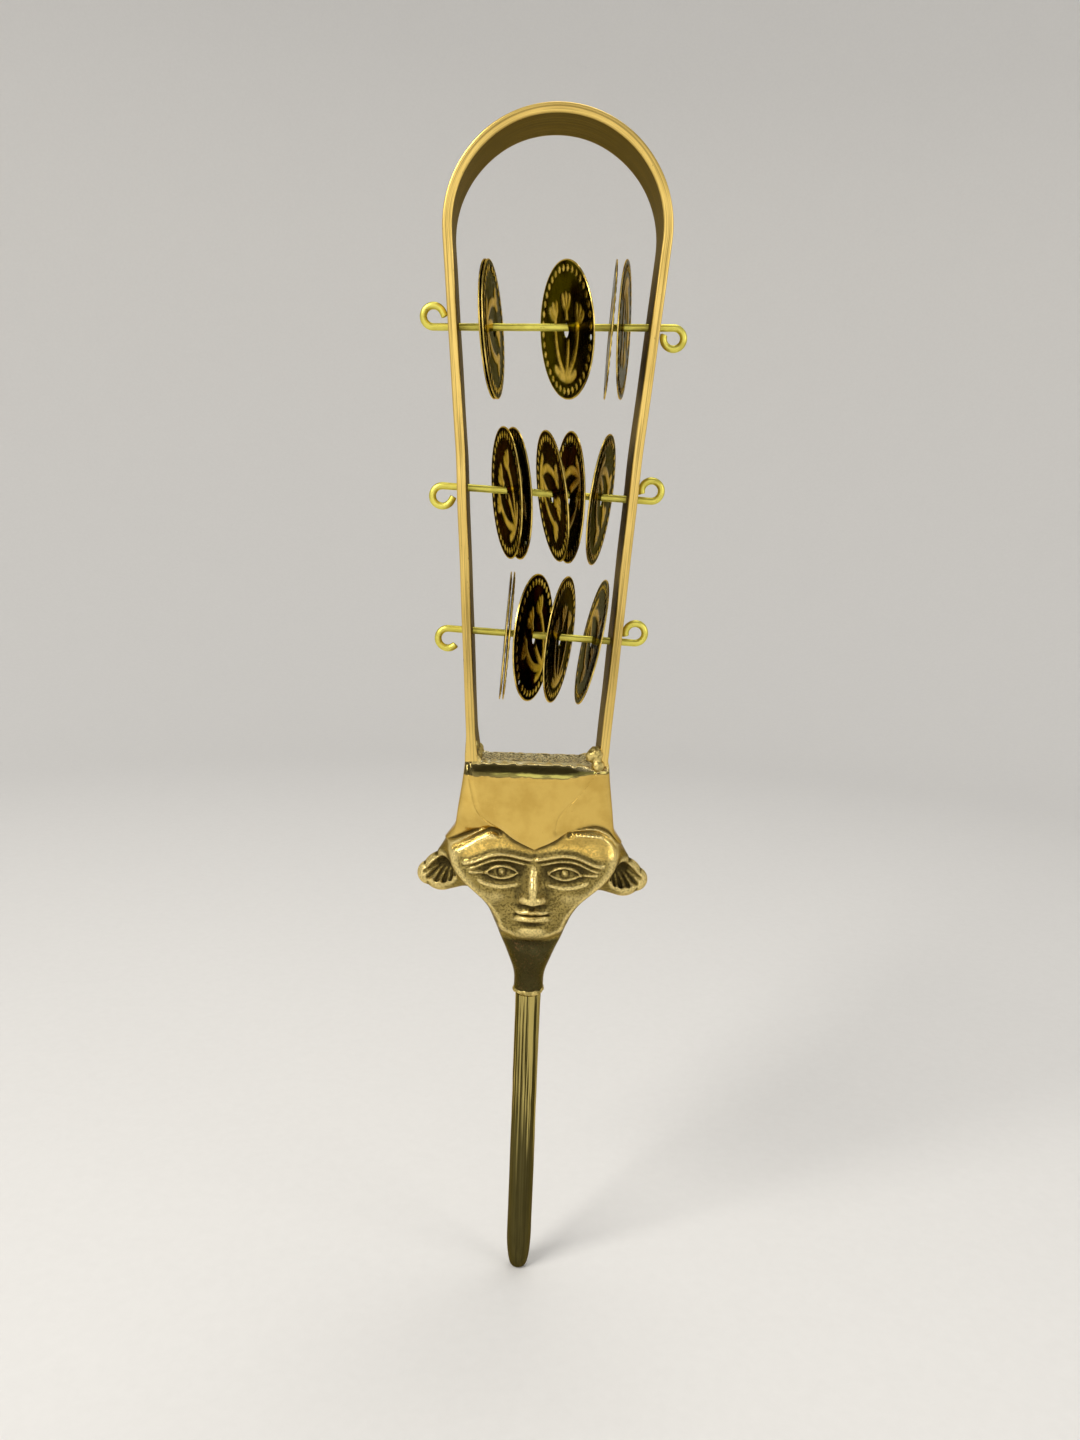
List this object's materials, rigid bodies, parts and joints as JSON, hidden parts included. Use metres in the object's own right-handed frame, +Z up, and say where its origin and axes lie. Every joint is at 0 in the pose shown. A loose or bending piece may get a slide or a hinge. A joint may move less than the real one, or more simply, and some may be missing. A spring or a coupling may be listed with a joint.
{
  "type": "sistrum",
  "caption": "Hand-held brass rattle: an arched strip frame with loose cross rods and thin discs, on a cast cow-eared head with a slim bar handle.",
  "frame": {"origin": "on the handle's axis at the middle of the grip", "axes": "+Z up the long axis to the arch, the face looks to -Y, +X to the right as seen from the front"},
  "size_m": [0.0764, 0.038, 0.3521],
  "materials": {
    "cast_brass": "cast, polished on the raised parts, dark and pitted in the hollows",
    "strip_brass": "bent flat bar, filed edges, brushed lengthwise",
    "bar_brass": "drawn round bar, streaked lengthwise, duller to the tip",
    "wire_brass": "drawn wire, bright",
    "disc_brass": "thin stamped sheet, mirror bright with a beaded border",
    "braze_metal": "lumpy braze filler, left as run"
  },
  "bodies": {
    "frame": {"head_casting": "cast_brass", "arch_frame": "strip_brass", "handle_rod": "bar_brass", "handle_braze_ring": "braze_metal", "right_foot_braze": "braze_metal", "left_foot_braze": "braze_metal"},
    "top_rod": {"top_rod": "wire_brass"},
    "top_disc_1": {"top_disc_1": "disc_brass"},
    "top_disc_2": {"top_disc_2": "disc_brass"},
    "top_disc_3": {"top_disc_3": "disc_brass"},
    "top_disc_4": {"top_disc_4": "disc_brass"},
    "top_disc_5": {"top_disc_5": "disc_brass"},
    "middle_rod": {"middle_rod": "wire_brass"},
    "middle_disc_1": {"middle_disc_1": "disc_brass"},
    "middle_disc_2": {"middle_disc_2": "disc_brass"},
    "middle_disc_3": {"middle_disc_3": "disc_brass"},
    "middle_disc_4": {"middle_disc_4": "disc_brass"},
    "middle_disc_5": {"middle_disc_5": "disc_brass"},
    "bottom_rod": {"bottom_rod": "wire_brass"},
    "bottom_disc_1": {"bottom_disc_1": "disc_brass"},
    "bottom_disc_2": {"bottom_disc_2": "disc_brass"},
    "bottom_disc_3": {"bottom_disc_3": "disc_brass"},
    "bottom_disc_4": {"bottom_disc_4": "disc_brass"},
    "bottom_disc_5": {"bottom_disc_5": "disc_brass"}
  },
  "joints": [
    {"name": "top_rod_spin", "type": "hinge", "parent": "frame", "child": "top_rod", "pos_m": [0, 0, 0.24725], "axis": [0.9994, 0, 0.0349], "continuous": true},
    {"name": "top_disc_1_slide", "type": "slide", "parent": "frame", "child": "top_disc_1", "axis": [0.9994, 0, 0.0349], "range_m": [-0.00531, 0.00006]},
    {"name": "top_disc_2_slide", "type": "slide", "parent": "frame", "child": "top_disc_2", "axis": [0.9994, 0, 0.0349], "range_m": [-0.00006, 0.00503]},
    {"name": "top_disc_3_slide", "type": "slide", "parent": "frame", "child": "top_disc_3", "axis": [0.9994, 0, 0.0349], "range_m": [-0.00503, 0.00161]},
    {"name": "top_disc_4_slide", "type": "slide", "parent": "frame", "child": "top_disc_4", "axis": [0.9994, 0, 0.0349], "range_m": [-0.00161, 0.00026]},
    {"name": "top_disc_5_slide", "type": "slide", "parent": "frame", "child": "top_disc_5", "axis": [0.9994, 0, 0.0349], "range_m": [-0.00026, 0.00233]},
    {"name": "middle_rod_spin", "type": "hinge", "parent": "frame", "child": "middle_rod", "pos_m": [0, 0, 0.20085], "axis": [0.9994, 0, -0.0349], "continuous": true},
    {"name": "middle_disc_1_slide", "type": "slide", "parent": "frame", "child": "middle_disc_1", "axis": [0.9994, 0, -0.0349], "range_m": [-0.0054, 0.00099]},
    {"name": "middle_disc_2_slide", "type": "slide", "parent": "frame", "child": "middle_disc_2", "axis": [0.9994, 0, -0.0349], "range_m": [-0.00099, 0.00415]},
    {"name": "middle_disc_3_slide", "type": "slide", "parent": "frame", "child": "middle_disc_3", "axis": [0.9994, 0, -0.0349], "range_m": [-0.00415, 0.00075]},
    {"name": "middle_disc_4_slide", "type": "slide", "parent": "frame", "child": "middle_disc_4", "axis": [0.9994, 0, -0.0349], "range_m": [-0.00075, 0.00021]},
    {"name": "middle_disc_5_slide", "type": "slide", "parent": "frame", "child": "middle_disc_5", "axis": [0.9994, 0, -0.0349], "range_m": [-0.00021, 0.0016]},
    {"name": "bottom_rod_spin", "type": "hinge", "parent": "frame", "child": "bottom_rod", "pos_m": [0, 0, 0.15925], "axis": [0.9991, 0, -0.0419], "continuous": true},
    {"name": "bottom_disc_1_slide", "type": "slide", "parent": "frame", "child": "bottom_disc_1", "axis": [0.9991, 0, -0.0419], "range_m": [-0.00641, 0.00011]},
    {"name": "bottom_disc_2_slide", "type": "slide", "parent": "frame", "child": "bottom_disc_2", "axis": [0.9991, 0, -0.0419], "range_m": [-0.00011, 0.00006]},
    {"name": "bottom_disc_3_slide", "type": "slide", "parent": "frame", "child": "bottom_disc_3", "axis": [0.9991, 0, -0.0419], "range_m": [-0.00006, 0.00263]},
    {"name": "bottom_disc_4_slide", "type": "slide", "parent": "frame", "child": "bottom_disc_4", "axis": [0.9991, 0, -0.0419], "range_m": [-0.00263, 0.0012]},
    {"name": "bottom_disc_5_slide", "type": "slide", "parent": "frame", "child": "bottom_disc_5", "axis": [0.9991, 0, -0.0419], "range_m": [-0.0012, 0.00156]}
  ]
}
